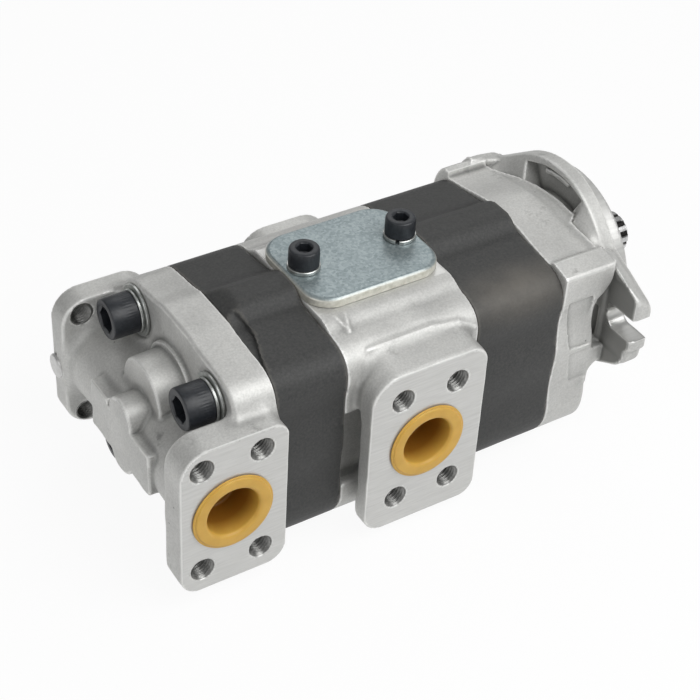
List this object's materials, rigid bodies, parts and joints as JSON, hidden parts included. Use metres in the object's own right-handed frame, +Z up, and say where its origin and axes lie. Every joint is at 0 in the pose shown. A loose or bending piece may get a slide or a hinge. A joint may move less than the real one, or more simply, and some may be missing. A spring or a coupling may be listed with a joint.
{
  "type": "hydraulic gear pump",
  "caption": "Tandem hydraulic gear pump with a two-ear mounting flange, splined shaft, cast sections, side port blocks with tapped bolt patterns and a bolted top plate",
  "frame": {"origin": "Where the drive shaft axis meets the mounting face of the flange", "axes": "+X runs along the drive shaft and out of its splined end, -Y is the outlet side, +Y is the suction side, +Z is up towards the cover plate"},
  "size_m": [0.2592, 0.1284, 0.112],
  "materials": {
    "cast_aluminium": "as-cast, fine grained, machined on the faces",
    "cast_iron": "dark, fine sand-cast",
    "zinc_steel": "bright zinc plated",
    "bright_zinc": "bright zinc plated",
    "black_steel": "black oxide",
    "yellow_plastic": "smooth moulded",
    "plug_aluminium": "smooth turned",
    "ground_steel": "hardened and ground",
    "bearing_bronze": "fine turned",
    "seal_rubber": "smooth black",
    "spring_steel": "phosphated"
  },
  "bodies": {
    "casing": {"rear_cover": "cast_aluminium", "centre_housing": "cast_aluminium", "front_flange": "cast_aluminium", "rear_gear_housing": "cast_iron", "front_gear_housing": "cast_iron", "cover_plate": "zinc_steel", "tie_bolt_washers": "bright_zinc", "cover_plate_washers": "bright_zinc", "tie_bolts": "black_steel", "cover_plate_screws": "black_steel", "rear_outlet_plug": "yellow_plastic", "centre_outlet_plug": "yellow_plastic", "rear_suction_plug": "yellow_plastic", "centre_suction_plug": "yellow_plastic", "passage_plug": "plug_aluminium", "dowel_pins": "ground_steel", "flange_bushes": "bearing_bronze", "centre_front_bushes": "bearing_bronze", "centre_rear_bushes": "bearing_bronze", "cover_bushes": "bearing_bronze", "front_thrust_plate_outer": "bearing_bronze", "front_thrust_plate_inner": "bearing_bronze", "rear_thrust_plate_inner": "bearing_bronze", "rear_thrust_plate_outer": "bearing_bronze", "shaft_seal": "seal_rubber", "flange_seal_ring": "seal_rubber", "centre_front_seal_ring": "seal_rubber", "centre_rear_seal_ring": "seal_rubber", "cover_seal_ring": "seal_rubber", "cover_plate_seal": "seal_rubber", "seal_retaining_ring": "spring_steel"},
    "drive_train": {"drive_gear_shaft": "ground_steel", "coupling_sleeve": "ground_steel", "rear_drive_gear": "ground_steel"},
    "front_driven": {"front_driven_gear": "ground_steel"},
    "rear_driven": {"rear_driven_gear": "ground_steel"}
  },
  "joints": [
    {"name": "drive_spin", "type": "hinge", "parent": "casing", "child": "drive_train", "pos_m": [0, 0, 0], "axis": [1, 0, 0], "continuous": true},
    {"name": "front_driven_spin", "type": "hinge", "parent": "casing", "child": "front_driven", "pos_m": [-0.06, 0, -0.035], "axis": [1, 0, 0], "continuous": true},
    {"name": "rear_driven_spin", "type": "hinge", "parent": "casing", "child": "rear_driven", "pos_m": [-0.16, 0, -0.035], "axis": [1, 0, 0], "continuous": true}
  ],
  "couplings": [
    {"joint": "front_driven_spin", "follows": "drive_spin", "ratio": -1},
    {"joint": "rear_driven_spin", "follows": "drive_spin", "ratio": -1}
  ]
}
